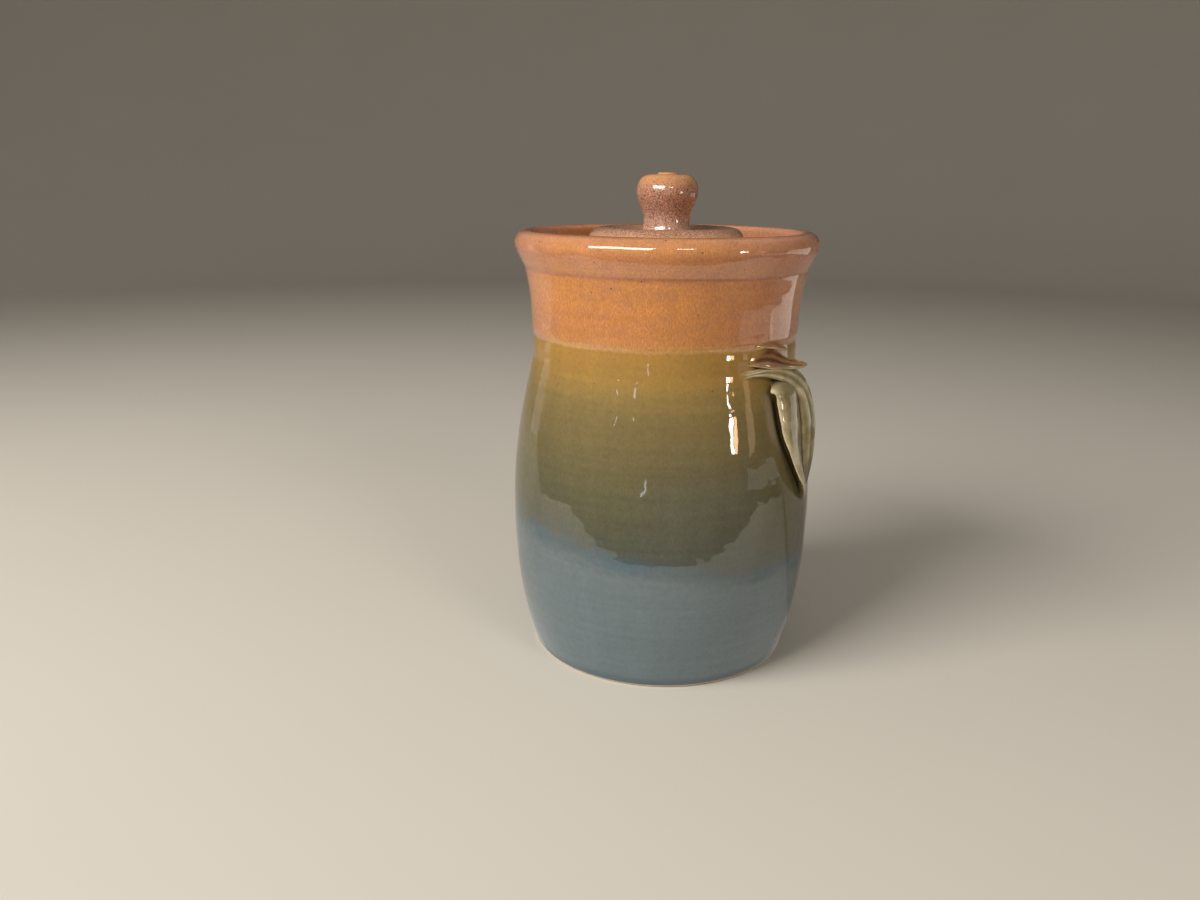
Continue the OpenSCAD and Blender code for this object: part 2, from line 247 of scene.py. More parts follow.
class Glaze:
    """A Principled material, with a short call for each node behind it."""

    def __init__(self, name):
        self.material = bpy.data.materials.new(name)
        self.material.use_nodes = True
        self.nodes = self.material.node_tree.nodes
        self.links = self.material.node_tree.links
        self.shader = self.nodes["Principled BSDF"]
        self.place = self.nodes.new("ShaderNodeTexCoord").outputs["Object"]
        split = self.nodes.new("ShaderNodeSeparateXYZ")
        self.put(split.inputs[0], self.place)
        self.x, self.y, self.z = split.outputs

    def put(self, socket, value):
        """Link a node's result to a socket, or set the socket's own value."""
        if isinstance(value, bpy.types.NodeSocket):
            self.links.new(value, socket)
        else:
            socket.default_value = value

    def calc(self, operation, *values):
        """Result of one math node."""
        node = self.nodes.new("ShaderNodeMath")
        node.operation = operation
        for socket, value in zip(node.inputs, values):
            self.put(socket, value)
        return node.outputs[0]

    def total(self, *values):
        """All values added."""
        result = values[0]
        for value in values[1:]:
            result = self.calc("ADD", result, value)
        return result

    def product(self, *values):
        """All values multiplied."""
        result = values[0]
        for value in values[1:]:
            result = self.calc("MULTIPLY", result, value)
        return result

    def towards(self, direction):
        """How far a point lies from the jar's axis in a direction on the floor."""
        return self.total(self.product(self.x, direction[0]), self.product(self.y, direction[1]))

    def radius(self):
        """How far a point lies from the jar's axis."""
        return self.calc("SQRT", self.total(self.product(self.x, self.x), self.product(self.y, self.y)))

    def step(self, value, start, end, low=0.0, high=1.0, kind="SMOOTHSTEP"):
        """Change from low to high as value goes from start to end, smooth unless kind says otherwise."""
        node = self.nodes.new("ShaderNodeMapRange")
        node.interpolation_type = kind
        for socket, v in zip(node.inputs, (value, start, end, low, high)):
            self.put(socket, v)
        return node.outputs[0]

    def band(self, value, start, full, fade, end):
        """1 while value goes from full to fade, and 0 before start and after end."""
        return self.product(self.step(value, start, full), self.step(value, end, fade))

    def noise(self, size, detail=2.0, stretch=(1, 1, 1), rough=0.5):
        """Noise from 0 to 1 with features about size across, drawn out by stretch."""
        scaled = self.nodes.new("ShaderNodeVectorMath")
        scaled.operation = "MULTIPLY"
        self.put(scaled.inputs[0], self.place)
        scaled.inputs[1].default_value = [1/(size*s) for s in stretch]
        node = self.nodes.new("ShaderNodeTexNoise")
        self.put(node.inputs["Vector"], scaled.outputs[0])
        node.inputs["Scale"].default_value = 1.0
        node.inputs["Detail"].default_value = detail
        node.inputs["Roughness"].default_value = rough
        return node.outputs[0]

    def swing(self, noise, reach):
        """Noise turned into a value from -reach to reach."""
        return self.product(self.calc("SUBTRACT", noise, 0.5), 2*reach)

    def specks(self, cell, radius, share):
        """1 inside round specks up to radius across, in about a share of cells that wide."""
        node = self.nodes.new("ShaderNodeTexVoronoi")
        self.put(node.inputs["Vector"], self.place)
        node.inputs["Scale"].default_value = 1/cell
        chance = self.nodes.new("ShaderNodeSeparateColor")
        self.put(chance.inputs[0], node.outputs["Color"])
        size = self.step(chance.outputs[0], 1 - share, 1, 0, radius/cell)
        inside = self.calc("SUBTRACT", size, node.outputs["Distance"])
        return self.step(inside, start=-0.02, end=0.03)

    def attribute(self, name):
        """A value that the mesh keeps at its points."""
        node = self.nodes.new("ShaderNodeAttribute")
        node.attribute_name = name
        return node.outputs["Fac"]

    def ramp(self, value, start, end, stops):
        """Colour by a value, with stops at values from start to end."""
        node = self.nodes.new("ShaderNodeValToRGB")
        self.put(node.inputs[0], self.step(value, start, end, kind="LINEAR"))
        keys = node.color_ramp.elements
        while len(keys) < len(stops):
            keys.new(0.5)
        for key, (at, colour) in zip(keys, stops):
            key.position = (at - start)/(end - start)
            key.color = (*colour, 1)
        return node.outputs[0]

    def mix(self, share, a, b, blend="MIX"):
        """Colour a, changed to b (or blended with it) by share."""
        node = self.nodes.new("ShaderNodeMix")
        node.data_type = "RGBA"
        node.blend_type = blend
        for place, value in ((MIX_FACTOR, share), (MIX_FIRST, a), (MIX_SECOND, b)):
            self.put(node.inputs[place], (*value, 1) if isinstance(value, tuple) else value)
        return node.outputs[MIX_RESULT]

    def tint(self, colour, target, where, much):
        """Colour changed to the target by as much as that, where the value is 1."""
        return self.mix(self.product(where, much), colour, target)

    def tone(self, colour, *shifts):
        """Colour made lighter and darker by values that swing round 0."""
        factor = self.calc("ADD", self.total(*shifts), 1.0)
        grey = self.nodes.new("ShaderNodeCombineColor")
        for socket in grey.inputs:
            self.put(socket, factor)
        return self.mix(1.0, colour, grey.outputs[0], "MULTIPLY")

    def bump(self, *layers):
        """Layers of (height from 0 to 1, depth in metres) on the surface."""
        normal = None
        for height, depth in layers:
            node = self.nodes.new("ShaderNodeBump")
            node.inputs["Strength"].default_value = 1.0
            node.inputs["Distance"].default_value = depth
            self.put(node.inputs["Height"], height)
            if normal:
                self.put(node.inputs["Normal"], normal)
            normal = node.outputs[0]
        self.put(self.shader.inputs["Normal"], normal)

    def finish(self, colour, rough):
        """The material with its colour and roughness set."""
        self.put(self.shader.inputs["Base Color"], colour)
        self.put(self.shader.inputs["Roughness"], rough)
        self.shader.inputs["IOR"].default_value = SURFACE_IOR
        return self.material


# Colours

BROWN_SPECK, PALE_SPECK, DARK_SPECK = (0.11, 0.045, 0.03), (0.70, 0.50, 0.38), (0.15, 0.062, 0.046)
CLAY, CLAY_SPECK = (0.80, 0.70, 0.55), (0.30, 0.22, 0.16)
POOL_BLUE, FOOT_BLUE = (0.060, 0.103, 0.122), (0.070, 0.108, 0.138)
COOL_OLIVE, GREEN_OLIVE = (0.130, 0.135, 0.130), (0.165, 0.150, 0.062)
MAUVE_CLOUD, MAUVE_PATCH, PAINTED_REFLECTION_PINK = (0.42, 0.175, 0.105), (0.43, 0.185, 0.110), (0.55, 0.250, 0.178)
PAINTED_REFLECTION, PAINTED_SHADOW = (0.310, 0.245, 0.155), (0.020, 0.020, 0.016)
PAPER, DARK_WALL, PAPER_LIGHT = (0.68, 0.615, 0.515), (0.09, 0.09, 0.09), (1, 0.96, 0.90)

# Glazes of the wall below the collar line and above it: height in millimetres, and colour
LOWER_GLAZE = [
    (0, (0.120, 0.166, 0.182)),
    (20, (0.124, 0.165, 0.176)),
    (44, (0.120, 0.155, 0.164)),
    (55, (0.124, 0.155, 0.158)),
    (59, (0.104, 0.130, 0.131)),
    (62, (0.088, 0.106, 0.096)),
    (66, (0.092, 0.094, 0.068)),
    (76, (0.104, 0.097, 0.055)),
    (90, (0.124, 0.110, 0.054)),
    (105, (0.160, 0.128, 0.056)),
    (118, (0.190, 0.140, 0.057)),
    (127, (0.222, 0.155, 0.056)),
    (134, (0.275, 0.180, 0.058)),
    (142, (0.345, 0.198, 0.052)),
    (151, (0.380, 0.205, 0.050))]
UPPER_GLAZE = [
    (150, (0.380, 0.205, 0.050)),
    (152.4, (0.430, 0.232, 0.060)),
    (153.5, (0.570, 0.320, 0.095)),
    (155, (0.550, 0.270, 0.080)),
    (157, (0.515, 0.214, 0.068)),
    (168, (0.555, 0.222, 0.066)),
    (178, (0.585, 0.242, 0.072)),
    (182, (0.570, 0.236, 0.074)),
    (183.4, (0.400, 0.155, 0.072)),
    (184.6, (0.540, 0.225, 0.085)),
    (188, (0.560, 0.238, 0.090)),
    (191.5, (0.520, 0.208, 0.084)),
    (194.5, (0.570, 0.245, 0.086)),
    (197, (0.560, 0.240, 0.094)),
    (199, (0.580, 0.258, 0.110)),
    (200, (0.420, 0.160, 0.066))]
# Glaze inside the jar: height in millimetres, and colour; the darker stops from 180 to 197 mm are painted
# shade inside the rim
INNER_GLAZE_AND_PAINTED_SHADE = [
    (8, (0.235, 0.215, 0.130)),
    (60, (0.300, 0.250, 0.130)),
    (120, (0.360, 0.255, 0.110)),
    (180, (0.330, 0.145, 0.052)),
    (190, (0.270, 0.100, 0.036)),
    (197, (0.340, 0.130, 0.048)),
    (200, (0.460, 0.190, 0.070))]
# Glazes of the lid by radius and of the knob by height: millimetres, colour and how many specks
LID_GOLD, LID_MAUVE = (0.56, 0.265, 0.090), (0.430, 0.194, 0.098)
LID_GLAZE = [
    (0, LID_GOLD, 0.2),
    (18, LID_GOLD, 0.2),
    (22, (0.50, 0.24, 0.10), 0.5),
    (26, LID_MAUVE, 1.0),
    (33.8, LID_MAUVE, 1.0),
    (34.8, (0.55, 0.29, 0.145), 0.6),
    (35.6, (0.54, 0.26, 0.11), 0.3),
    (38, (0.47, 0.20, 0.075), 0.5),
    (56, (0.50, 0.21, 0.078), 0.4),
    (59, (0.54, 0.23, 0.085), 0.2)]
KNOB_GLAZE = [
    (199, (0.52, 0.285, 0.185), 1.0),
    (203, (0.49, 0.26, 0.175), 1.0),
    (208, (0.410, 0.188, 0.122), 1.0),
    (213, (0.430, 0.175, 0.098), 1.0),
    (218, (0.46, 0.195, 0.105), 1.0),
    (221, (0.56, 0.245, 0.100), 0.5),
    (223.6, (0.62, 0.285, 0.110), 0.25),
    (225.4, (0.64, 0.29, 0.105), 0.2)]
# Glazes of the handles below the neck and on it, from the creases and the painted shade of the undersides
# (0) to the ridges (1)
OLIVE_TO_CREAM = [
    (0, (0.045, 0.036, 0.018)),
    (0.3, (0.135, 0.102, 0.045)),
    (0.6, (0.270, 0.215, 0.100)),
    (0.8, (0.410, 0.335, 0.180)),
    (1, (0.620, 0.505, 0.310))]
BROWN_TO_CREAM = [
    (0, (0.100, 0.040, 0.020)),
    (0.35, (0.270, 0.118, 0.050)),
    (0.7, (0.400, 0.210, 0.095)),
    (1, (0.600, 0.400, 0.210))]


# Glazes

# Tilt of the line where the olive and blue glazes meet: how far it drops, towards which side, and the
# heights between which the tilt sets in
DIP_DROP = 10*MM
DIP_SIDE = (0.819, 0.574)
DIP_TOP, DIP_FULL = 150*MM, 70*MM
# Where a dark shadow is painted in the crease beside each leaf: height, and degrees from the handle's
# middle
SHADOW_LINE = [
    (80*MM, 12.3), (88*MM, 7.2), (96*MM, 2.5), (102*MM, -0.4), (107*MM, -2.8), (112*MM, -4.6),
    (116*MM, -5.8), (121*MM, -6.6), (133*MM, -7.0)]
SHADOW_HALF_W = 1.15*MM
# The degrees that the colours of that line's ramp stand for: at black, and from there to white
SHADOW_START, SHADOW_SPAN = -10, 30
# Pale painted reflection on the wall beside that crease: how far from it, half width, and heights where it
# sets in
REFLECTION_OFF, REFLECTION_HALF_W = 4.0*MM, 2.1*MM
REFLECTION_START, REFLECTION_FULL = 104*MM, 118*MM
# Stretch of noises that follow the glaze's runs down the wall, and of those that follow the wheel round it
RUN_STRETCH = (1, 1, 5)
WHEEL_STRETCH = (30, 30, 1)


def at_mm(stops):
    """The stops of a glaze with their places in metres."""
    return [(place*MM, colour) for place, colour in stops]


def glaze_skin(g, ripple=0.003*MM):
    """Surface that a melted glaze has: long soft waves, throwing ripples and fine pits."""
    long_waves, short_waves = g.noise(15*MM, detail=1.0), g.noise(7*MM, detail=1.0)
    rings = g.noise(1.6*MM, detail=1.0, stretch=(40, 40, 1))
    pits = g.noise(2.2*MM)
    g.bump((long_waves, 0.20*MM), (short_waves, 0.10*MM), (rings, ripple), (pits, 0.004*MM))


def gloss(g, drift, low, high):
    """Roughness that wanders between two values with a slow noise."""
    return g.step(drift, 0.2, 0.8, low, high)


def wall_colour(g):
    """Colour of the jar's layered glazes by height, with where the collar starts and two slow noises."""
    tilt = g.product(g.towards(DIP_SIDE), DIP_DROP/BELLY_R, g.step(g.z, DIP_TOP, DIP_FULL))
    runs = g.noise(9*MM, stretch=RUN_STRETCH)
    drift = g.noise(34*MM)
    fray = g.noise(5*MM, detail=3.0)
    height = g.total(g.z, tilt, g.swing(drift, 4*MM), g.swing(runs, 2.5*MM), g.swing(fray, 2.2*MM))
    lower = g.ramp(height, 0, 160*MM, at_mm(LOWER_GLAZE))
    patches = g.step(g.noise(24*MM, detail=3.0, stretch=(1, 1, 0.4)), 0.42, 0.60)
    pool = g.product(g.band(height, 53*MM, 59*MM, 60*MM, 66*MM), patches)
    lower = g.tint(lower, POOL_BLUE, pool, much=0.75)
    line = g.total(g.z, g.swing(drift, 0.8*MM), g.swing(runs, 0.4*MM))
    upper = g.ramp(line, 150*MM, 201*MM, at_mm(UPPER_GLAZE))
    collar = g.step(line, 151.8*MM, 153*MM)
    return g.mix(collar, lower, upper), collar, runs, drift


def near_line(g, away, half_w):
    """1 on a line and 0 off it, from how far a point lies away."""
    return g.step(g.calc("ABSOLUTE", away), 1.5*half_w, 0.5*half_w)


def painted_shadow_and_reflection(g):
    """1 where a shadow is painted in the crease beside each leaf, and 1 on the painted reflection next to
    it; both are 0 away from the handles.
    """
    low, high = SHADOW_LINE[0][0], SHADOW_LINE[-1][0]
    greys = [(z, [(degrees - SHADOW_START)/SHADOW_SPAN]*3) for z, degrees in SHADOW_LINE]
    line = g.ramp(g.z, low, high, greys)
    line = g.calc("MULTIPLY_ADD", line, math.radians(SHADOW_SPAN), math.radians(SHADOW_START))
    turn = g.calc("WRAP", g.calc("ARCTAN2", g.y, g.x), math.pi/2, -math.pi/2)
    away = g.product(g.calc("SUBTRACT", turn, line), BELLY_R)
    shadow_part = g.band(g.z, low, low + 6*MM, high - 5*MM, high)
    reflection_part = g.band(g.z, REFLECTION_START, REFLECTION_FULL, high - 3*MM, high + 3*MM)
    crease = g.product(near_line(g, away, SHADOW_HALF_W), shadow_part)
    reflection_band = g.product(near_line(g, g.total(away, REFLECTION_OFF), REFLECTION_HALF_W), reflection_part)
    return crease, reflection_band


def jar_glaze():
    """Amber collar over golden olive over slate blue, with painted reflections on the collar's sides and
    beside each leaf, and a painted shadow in the crease beside each leaf.
    """
    g = Glaze("jar_glaze")
    colour, collar, runs, drift = wall_colour(g)
    side = g.towards(DIP_SIDE)
    cool = g.product(g.band(side, -20*MM, 10*MM, 36*MM, 48*MM), g.band(g.z, 54*MM, 64*MM, 90*MM, 118*MM))
    colour = g.tint(colour, COOL_OLIVE, cool, much=0.22)
    clouds = g.step(g.noise(18*MM, detail=4.0, stretch=(1.6, 1.6, 1), rough=0.6), 0.45, 0.70)
    colour = g.tint(colour, MAUVE_CLOUD, g.product(clouds, collar), much=0.32)
    patches = g.step(g.noise(4.5*MM, detail=3.0, stretch=(1.8, 1.8, 1), rough=0.6), 0.46, 0.66)
    colour = g.tint(colour, MAUVE_PATCH, g.product(patches, collar), much=0.25)
    # Pink painted reflection on the collar towards the camera's left and right sides
    edge_reflection = g.total(g.step(side, 12*MM, 52*MM, 0, 0.42), g.step(side, -40*MM, -60*MM, 0, 0.30))
    colour = g.mix(g.product(edge_reflection, collar), colour, PAINTED_REFLECTION_PINK)
    hairs = g.total(g.step(collar, 0, 1, 0.45, 1.0), g.step(g.z, 62*MM, 50*MM, 0, -0.25))
    gold = g.step(g.noise(0.50*MM, stretch=(1, 1, 3), rough=0.6), 0.50, 0.62)
    colour = g.tint(colour, g.tone(colour, 0.36), g.product(gold, hairs), much=0.48)
    dim = g.step(g.noise(0.62*MM, stretch=(1, 1, 2.4), rough=0.6), 0.50, 0.64)
    colour = g.tint(colour, g.tone(colour, -0.36), g.product(dim, hairs), much=0.42)
    grain = g.noise(2.2*MM, detail=4.0, rough=0.65)
    bands = g.noise(2.4*MM, detail=1.0, stretch=WHEEL_STRETCH)
    colour = g.tone(colour, g.swing(grain, 0.18), g.swing(bands, 0.10), g.swing(runs, 0.10))
    small = g.product(g.specks(cell=2.4*MM, radius=0.25*MM, share=0.8), 0.6)
    large = g.specks(cell=4.3*MM, radius=0.45*MM, share=0.9)
    speck = g.product(g.calc("MAXIMUM", small, large), g.step(g.z, 100*MM, 160*MM, 0.15, 0.85))
    colour = g.mix(speck, colour, BROWN_SPECK)
    crease, reflection_band = painted_shadow_and_reflection(g)
    # Pale painted reflection on the wall beside each leaf's crease
    colour = g.tint(colour, PAINTED_REFLECTION, reflection_band, much=0.85)
    # Painted shadow in the crease beside each leaf
    colour = g.tint(colour, PAINTED_SHADOW, crease, much=0.85)
    foot = g.step(g.total(g.z, g.swing(runs, 0.8*MM)), 6.5*MM, 2.5*MM, 0, 0.85)
    colour = g.mix(foot, colour, FOOT_BLUE)
    glaze_skin(g)
    return g.finish(colour, gloss(g, drift, 0.03, 0.06))


def inner_glaze_and_painted_shade():
    """Amber in the gallery, darkened there by painted shade inside the rim, running down to a pale olive
    inside the jar.
    """
    g = Glaze("inner_glaze_and_painted_shade")
    drift = g.noise(30*MM)
    colour = g.ramp(g.total(g.z, g.swing(drift, 4*MM)), 0, 201*MM, at_mm(INNER_GLAZE_AND_PAINTED_SHADE))
    grain = g.noise(1.2*MM, detail=3.0)
    bands = g.noise(2.6*MM, detail=1.0, stretch=WHEEL_STRETCH)
    colour = g.tone(colour, g.swing(grain, 0.10), g.swing(bands, 0.10))
    colour = g.mix(g.specks(cell=4*MM, radius=0.4*MM, share=0.3), colour, BROWN_SPECK)
    glaze_skin(g)
    return g.finish(colour, gloss(g, drift, 0.06, 0.12))


def bare_clay():
    """Pale fired clay without glaze."""
    g = Glaze("bare_clay")
    grain = g.noise(0.7*MM, detail=4.0)
    specks = g.specks(cell=2.2*MM, radius=0.3*MM, share=0.4)
    colour = g.mix(specks, g.tone(CLAY, g.swing(grain, 0.15)), CLAY_SPECK)
    g.bump((grain, 0.05*MM))
    return g.finish(colour, 0.75)


def speckled_glaze(name, stops, by_radius, start, end):
    """Mauve glaze full of fine pale and dark specks that breaks to amber."""
    g = Glaze(name)
    drift = g.noise(6*MM)
    at = g.total(g.radius() if by_radius else g.z, g.swing(drift, 0.9*MM))
    colour = g.ramp(at, start, end, at_mm((place, tint) for place, tint, _ in stops))
    amount = g.ramp(at, start, end, at_mm((place, [much]*3) for place, _, much in stops))
    pale = g.product(g.step(g.noise(0.46*MM), 0.53, 0.62), amount)
    dark = g.product(g.step(g.noise(0.60*MM, stretch=(1, 1, 1.4)), 0.53, 0.63), amount)
    colour = g.tint(colour, PALE_SPECK, pale, much=0.80)
    colour = g.tint(colour, DARK_SPECK, dark, much=0.80)
    colour = g.tone(colour, g.swing(drift, 0.16), g.swing(g.noise(0.5*MM), 0.20))
    glaze_skin(g, ripple=0.006*MM)
    return g.finish(colour, gloss(g, drift, 0.06, 0.12))


def handle_glaze():
    """Olive glaze, dark in the creases and with painted shade on the undersides, cream on the ridges, and
    running into the wall's glaze.
    """
    g = Glaze("handle_glaze")
    drift = g.noise(4*MM, detail=3.0)
    # The strands' tones, with painted shade on their undersides and painted light on their upper parts
    at = g.total(g.attribute("ridge_and_shade"), g.swing(drift, 0.20))
    on_neck = g.step(g.z, 142*MM, 149*MM)
    colour = g.mix(on_neck, g.ramp(at, 0, 1, OLIVE_TO_CREAM), g.ramp(at, 0, 1, BROWN_TO_CREAM))
    green = g.step(g.noise(6*MM, detail=3.0), 0.5, 0.7)
    colour = g.tint(colour, GREEN_OLIVE, green, much=0.35)
    colour = g.mix(g.attribute("seat"), colour, wall_colour(g)[0])
    colour = g.tone(colour, g.swing(g.noise(1.1*MM, detail=3.0), 0.10))
    glaze_skin(g)
    return g.finish(colour, gloss(g, drift, 0.06, 0.11))


# Thrown pieces

# Shallow lines that a finger drew round the wall: height, depth and half height
DRAWN_LINES = [(152.6*MM, 0.35*MM, 2.4*MM), (142.5*MM, 0.20*MM, 3.2*MM)]
# Depth of the throwing rings and of the long waves under them, and height from one to the next
RING_DEPTH, RING_H = 0.006*MM, 5.3*MM
WAVE_DEPTH, WAVE_H = 0.03*MM, 26*MM
# The marks start above this height and outside this radius
MARKS_Z, MARKS_R = 3*MM, 20*MM
# Materials of the jar's zones and of the lid's, in order
OUTSIDE, INSIDE, BARE_FOOT = 0, 1, 2
GLAZED, BARE_SEAT = 0, 1
# Heights of the bare foot, of the recess in it and of the lid's bare seat, and slack round the zones
BARE_H, RECESS_H, SEAT_H = 1.5*MM, 3*MM, 0.4*MM
ZONE_SLACK = 1*MM


def throwing_marks(r, z, angle):
    """Change of the radius where a thrower's fingers pressed the wall."""
    if z < MARKS_Z or r < MARKS_R:
        return 0
    wander = 1.3*math.sin(TURN*z/(31*MM)) + 0.7*math.sin(angle + TURN*z/(83*MM))
    rings = 1 + math.sin(TURN*z/RING_H + angle + wander)
    waves = 1 + math.sin(TURN*z/WAVE_H - angle)
    drawn = sum(depth*math.exp(-((z - at)/half)**2) for at, depth, half in DRAWN_LINES)
    return -RING_DEPTH*rings - WAVE_DEPTH*waves - drawn


def jar_profile():
    """Outline of the jar, from the middle of its underside round the wall to the middle of its floor."""
    ring_in = FOOT_R - FOOT_RING_W
    corner_z = FLOOR_T + FLOOR_FILLET
    corner_r = wall_radius(corner_z) - WALL_T
    throat_foot = (LEDGE_Z - THROAT_H, THROAT_R, 0)
    wall_top = (NECK_Z, NECK_R - WALL_T, 0)
    inside_z = [NECK_Z + (corner_z - NECK_Z)*i/INSIDE_STEPS for i in range(1, INSIDE_STEPS + 1)]
    return [
        (0, FOOT_RECESS), (ring_in - FOOT_RECESS, FOOT_RECESS), (ring_in, 0), (FOOT_R - FOOT_BEVEL, 0),
        *curve(AT_FOOT, AT_BELLY),
        *curve(AT_BELLY, AT_SHOULDER),
        *curve(AT_SHOULDER, AT_NECK),
        (NECK_R, COLLAR_Z),
        *curve(AT_COLLAR, AT_COLLAR_TOP),
        (FLARE_R - FLARE_LINE, FLARE_Z),
        *curve(AT_FLARE, AT_RIM),
        *arc((LIP_R, RIM_Z), (RIM_R - LIP_R, BODY_H - RIM_Z), 0, 90),
        *arc((LIP_R, BODY_H - LIP_EDGE), (LIP_EDGE, LIP_EDGE), 90, 180),
        (GALLERY_R, LEDGE_Z), (THROAT_R + LEDGE_BEVEL, LEDGE_Z), (THROAT_R, LEDGE_Z - LEDGE_BEVEL),
        *reversed(curve(wall_top, throat_foot)),
        *[(wall_radius(z) - WALL_T, z) for z in inside_z],
        *arc((corner_r - FLOOR_FILLET, corner_z), (FLOOR_FILLET, FLOOR_FILLET), 0, -90),
        (0, FLOOR_T)]


def jar_zone(r, z, share):
    """Material of a band of the jar: glazed outside, glazed inside or bare foot."""
    on_foot = share < 0.5 and z < BARE_H
    in_recess = r < FOOT_R - FOOT_RING_W and z < RECESS_H
    if on_foot or in_recess:
        return BARE_FOOT
    on_wall = r > wall_radius(min(z, COLLAR_Z)) - ZONE_SLACK
    on_rim = z > COLLAR_Z and r > LIP_R
    return OUTSIDE if on_wall or on_rim else INSIDE


def make_jar():
    profile = softened(respaced(jar_profile(), JAR_STEP))
    jar = turned("thrown_jar", profile, [jar_glaze(), inner_glaze_and_painted_shade(), BARE_CLAY], jar_zone, throwing_marks)
    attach(jar, "jar")
    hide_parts("jar_body")


def lid_profile():
    """Outline of the lid, from the middle of its hollow round the edge to the middle of its dish."""
    step_z = LID_Z + FLANGE_T + FLANGE_RISE
    plateau_z = LID_Z + PLATEAU_H
    ring_r = PLATEAU_R - RING_INSET
    edge_r = PLATEAU_R - PLATEAU_EDGE
    dish = []
    for i in range(1, DISH_STEPS + 1):
        fall = (1 + math.cos(math.pi*i/DISH_STEPS))/2
        dish.append((ring_r - DISH_SLOPE_W*i/DISH_STEPS, DISH_Z + (RING_Z - DISH_Z)*fall))
    return [
        *arc((0, LID_Z), (FLANGE_R - SEAT_W, LID_HOLLOW), 90, 0, steps=40),
        (FLANGE_R, LID_Z),
        *arc((FLANGE_R - FLANGE_EDGE, LID_Z + FLANGE_T - FLANGE_EDGE), (FLANGE_EDGE, FLANGE_EDGE), 0, 90),
        *arc((PLATEAU_R + STEP_FILLET, step_z + STEP_FILLET), (STEP_FILLET, STEP_FILLET), 270, 180),
        *arc((edge_r, plateau_z - PLATEAU_EDGE), (PLATEAU_EDGE, PLATEAU_EDGE), 0, 60),
        *arc((ring_r, plateau_z), (edge_r - ring_r, RING_Z - plateau_z), 10, 90),
        *dish,
        (0, DISH_Z)]


def lid_zone(r, z, share):
    """Material of a band of the lid: bare on the seat under its edge, glazed elsewhere."""
    on_seat = z < LID_Z + SEAT_H and r > FLANGE_R - SEAT_W - ZONE_SLACK
    return BARE_SEAT if on_seat else GLAZED


def make_lid():
    profile = softened(respaced(lid_profile(), LID_STEP), passes=1)
    glaze = speckled_glaze("lid_glaze", LID_GLAZE, True, 0, 60*MM)
    lid = turned("thrown_lid", profile, [glaze, BARE_CLAY], lid_zone)
    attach(lid, "lid")
    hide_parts("lid_plate")


def knob_profile():
    """Outline of the knob, from the middle of its foot round the side to the middle of its button."""
    foot = (DISH_Z, KNOB_FOOT_R, KNOB_FOOT_LEAN)
    waist = (DISH_Z + KNOB_WAIST_H, KNOB_WAIST_R, 0)
    wide_z = DISH_Z + KNOB_WIDE_H
    wide = (wide_z, KNOB_R, 0)
    top_z = DISH_Z + KNOB_H
    hollow_z = top_z - KNOB_DISH
    button_z = hollow_z + BUTTON_H
    return [
        (0, DISH_Z),
        *curve(foot, waist),
        *curve(waist, wide),
        *arc((KNOB_TOP_R, wide_z), (KNOB_R - KNOB_TOP_R, top_z - wide_z), 0, 90),
        (BUTTON_R, hollow_z),
        *arc((BUTTON_R - BUTTON_EDGE, button_z - BUTTON_EDGE), (BUTTON_EDGE, BUTTON_EDGE), 0, 90, steps=6),
        (0, button_z)]


def make_knob():
    profile = softened(respaced(knob_profile(), KNOB_STEP))
    glaze = speckled_glaze("knob_glaze", KNOB_GLAZE, False, 198*MM, 226*MM)
    knob = turned("thrown_knob", profile, [glaze], lambda r, z, share: GLAZED)
    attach(knob, "lid")
    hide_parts("lid_knob")


# Handles

HANDLE_H = 72*MM
# Stations of each strand: angle from the handle's middle in degrees, then shares of the handle's
# height below the collar line, of the reach, of the half width and of the half thickness
LEAF_ROUTE = [
    (-4.9, 0.275, -0.3, 0.98, 0.7), (-4.7, 0.228, 0.03, 0.97, 0.7), (-4, 0.226, 0.68, 0.92, 0.72),
    (-3.2, 0.268, 1, 0.88, 0.78), (-2.5, 0.34, 0.98, 0.92, 0.88), (-1.5, 0.437, 0.84, 0.97, 0.9),
    (0.3, 0.576, 0.67, 1, 0.85), (3.9, 0.757, 0.47, 0.95, 0.74), (7.3, 0.882, 0.25, 0.6, 0.55),
    (11.2, 1, 0.02, 0.08, 0.25)]
STRAND_ROUTE = [
    (-25, 0.166, -0.25, 0.04, 0.25), (-18, 0.148, 0.08, 0.24, 0.45), (-11, 0.14, 0.3, 0.5, 0.75),
    (-4, 0.154, 0.6, 0.75, 0.92), (2, 0.194, 0.8, 0.84, 1), (6, 0.257, 0.96, 0.86, 1),
    (7.7, 0.354, 1, 0.92, 1), (8.2, 0.479, 0.94, 1, 0.95), (8.6, 0.618, 0.75, 0.92, 0.85),
    (9.7, 0.771, 0.48, 0.67, 0.65), (12.5, 0.924, 0.1, 0.13, 0.3)]
TAB_ROUTE = [
    (-20, 0.068, -0.13, 0.4, 0.4), (-15, 0.062, 0.02, 0.8, 0.8), (-9, 0.065, 0.2, 1, 1),
    (-3, 0.096, 0.44, 0.6, 0.95), (1, 0.108, 0.73, 0.45, 0.8), (4.2, 0.113, 1, 0.18, 0.45)]
CURL_ROUTE = [
    (-15, -0.01, -0.22, 0.4, 0.6), (-9, -0.013, 0.22, 1, 1), (-4, 0.001, 0.66, 0.95, 0.95),
    (0.5, 0.028, 1, 0.3, 0.5)]
